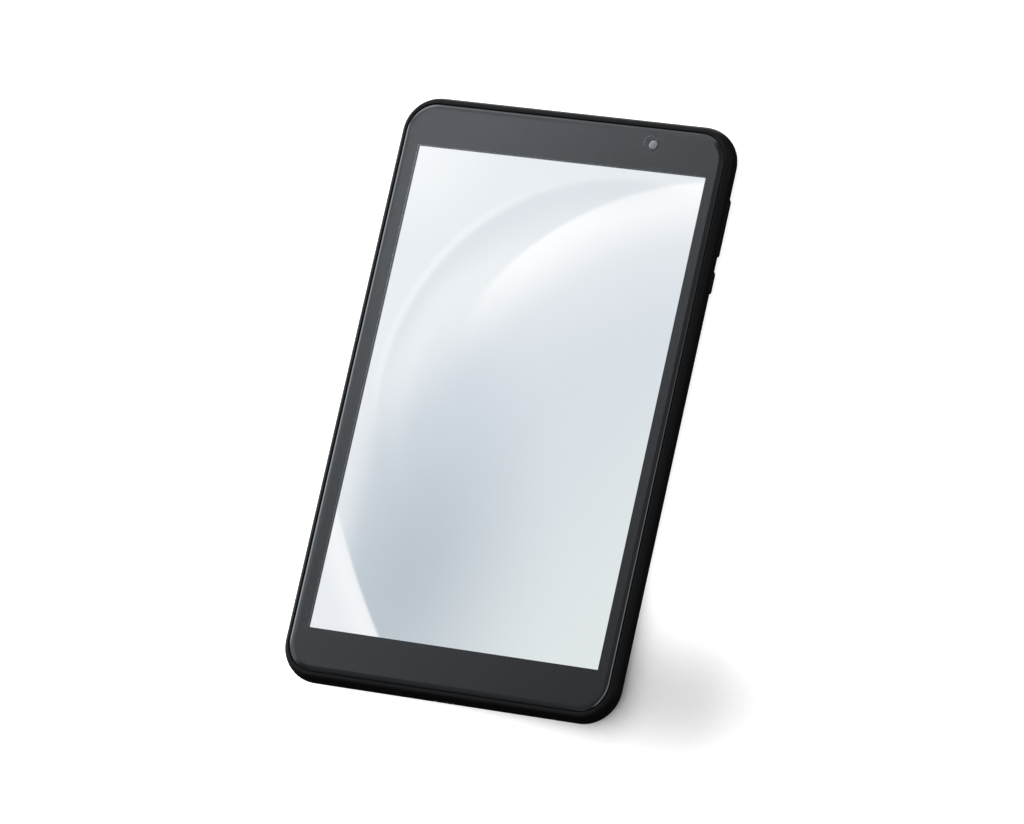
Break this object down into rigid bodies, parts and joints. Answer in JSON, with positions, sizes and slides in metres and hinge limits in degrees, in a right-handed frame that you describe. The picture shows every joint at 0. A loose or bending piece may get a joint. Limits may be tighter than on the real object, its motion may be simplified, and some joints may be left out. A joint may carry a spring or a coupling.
{
  "type": "tablet computer",
  "caption": "Slim tablet computer with a glass-fronted display, moulded rear cover, side keys, card tray, charging port, headphone socket and full internals.",
  "frame": {"origin": "centre of the flat back face, with the tablet lying on its back", "axes": "+X towards the side with the keys, +Y along the long side towards the front camera, +Z out of the screen"},
  "size_m": [0.1255, 0.209, 0.0086],
  "materials": {
    "rear_shell": "fine satin moulding texture, near black",
    "frame_plastic": "satin black, fine texture",
    "cover_glass": "clear polished glass over a dark grey printed border",
    "adhesive": "black foam-backed adhesive tape",
    "touch_film": "clear laminated sensor film",
    "flex": "amber polyimide ribbon with copper tracks",
    "gasket": "black foam gasket",
    "lcd": "lit liquid-crystal panel showing a pale wallpaper",
    "film": "milky optical film",
    "light_guide": "clear acrylic plate",
    "reflector": "silvered film",
    "led": "white ribbon with yellow-capped lamps",
    "pressed_steel": "thin pressed stainless steel",
    "plate_metal": "pressed steel plate, dull",
    "brass": "turned brass",
    "screw_steel": "black zinc-plated steel",
    "circuit_board": "dark blue solder mask",
    "chip": "black epoxy package",
    "thermal_pad": "grey silicone pad",
    "connector": "black liquid-crystal-polymer sockets",
    "battery": "aluminium-laminate pouch in black film",
    "wire": "insulated wire",
    "black_plastic": "black moulded plastic",
    "driver": "metal driver frame and dome",
    "mesh": "fine black acoustic mesh",
    "port_steel": "drawn stainless steel shell",
    "lens_glass": "coated lens",
    "window_glass": "dark tinted window",
    "ring_metal": "black anodised aluminium",
    "key_plastic": "satin black",
    "spring_metal": "gold-plated spring copper"
  },
  "bodies": {
    "tablet": {"rear_cover": "rear_shell", "front_frame": "frame_plastic", "cover_glass": "cover_glass", "glass_adhesive": "adhesive", "touch_sensor": "touch_film", "touch_flex": "flex", "lcd_gasket": "gasket", "lcd_cell": "lcd", "optical_films": "film", "light_guide": "light_guide", "reflector_sheet": "reflector", "led_strip": "led", "backlight_tray": "pressed_steel", "display_driver": "chip", "display_flex": "flex", "mid_plate": "plate_metal", "standoffs": "brass", "board_screws": "screw_steel", "main_board": "circuit_board", "sub_board": "circuit_board", "processor": "chip", "board_chips": "chip", "wifi_module": "pressed_steel", "soc_shield": "pressed_steel", "power_shield": "pressed_steel", "thermal_pad": "thermal_pad", "flex_connectors": "connector", "battery_cell": "battery", "battery_board": "circuit_board", "battery_lead": "wire", "battery_adhesive": "adhesive", "main_flex": "flex", "speaker_left": "black_plastic", "speaker_right": "black_plastic", "speaker_drivers": "driver", "speaker_mesh": "mesh", "microphone": "pressed_steel", "microphone_boot": "gasket", "usb_c_shell": "port_steel", "usb_c_tongue": "black_plastic", "headphone_jack": "black_plastic", "jack_terminals": "spring_metal", "front_camera": "black_plastic", "front_camera_lens": "lens_glass", "rear_camera": "black_plastic", "rear_camera_lens": "lens_glass", "rear_camera_ring": "ring_metal", "rear_camera_window": "window_glass", "camera_flexes": "flex", "key_switches": "pressed_steel", "side_key_flex": "flex", "key_bracket": "pressed_steel", "card_socket": "pressed_steel", "wifi_antenna": "flex", "antenna_clips": "spring_metal"},
    "power_button": {"power_button": "key_plastic"},
    "volume_rocker": {"volume_rocker": "key_plastic"},
    "card_tray": {"card_tray": "rear_shell"},
    "eject_rod": {"eject_rod": "pressed_steel"},
    "eject_lever": {"eject_lever": "pressed_steel"}
  },
  "joints": [
    {"name": "power_press", "type": "slide", "parent": "tablet", "child": "power_button", "axis": [-1, 0, 0], "range_m": [0, 0.0003], "stiffness_N_per_m": 4000},
    {"name": "volume_rock", "type": "hinge", "parent": "tablet", "child": "volume_rocker", "pos_m": [0.06055, 0.0702, 0.0037], "axis": [0, 0, 1], "range_deg": [-1.3, 1.3], "stiffness_Nm_per_rad": 0.6},
    {"name": "tray_slide", "type": "slide", "parent": "tablet", "child": "card_tray", "axis": [-1, 0, 0], "range_m": [0, 0.024]},
    {"name": "eject_rod_push", "type": "slide", "parent": "tablet", "child": "eject_rod", "axis": [1, 0, 0], "range_m": [0, 0.0012]},
    {"name": "eject_lever_turn", "type": "hinge", "parent": "tablet", "child": "eject_lever", "pos_m": [-0.0396, 0.069, 0.00375], "axis": [0, 0, 1], "range_deg": [0, 14]}
  ],
  "couplings": [
    {"joint": "eject_lever_turn", "follows": "eject_rod_push", "rad_per_m": 196.08}
  ]
}
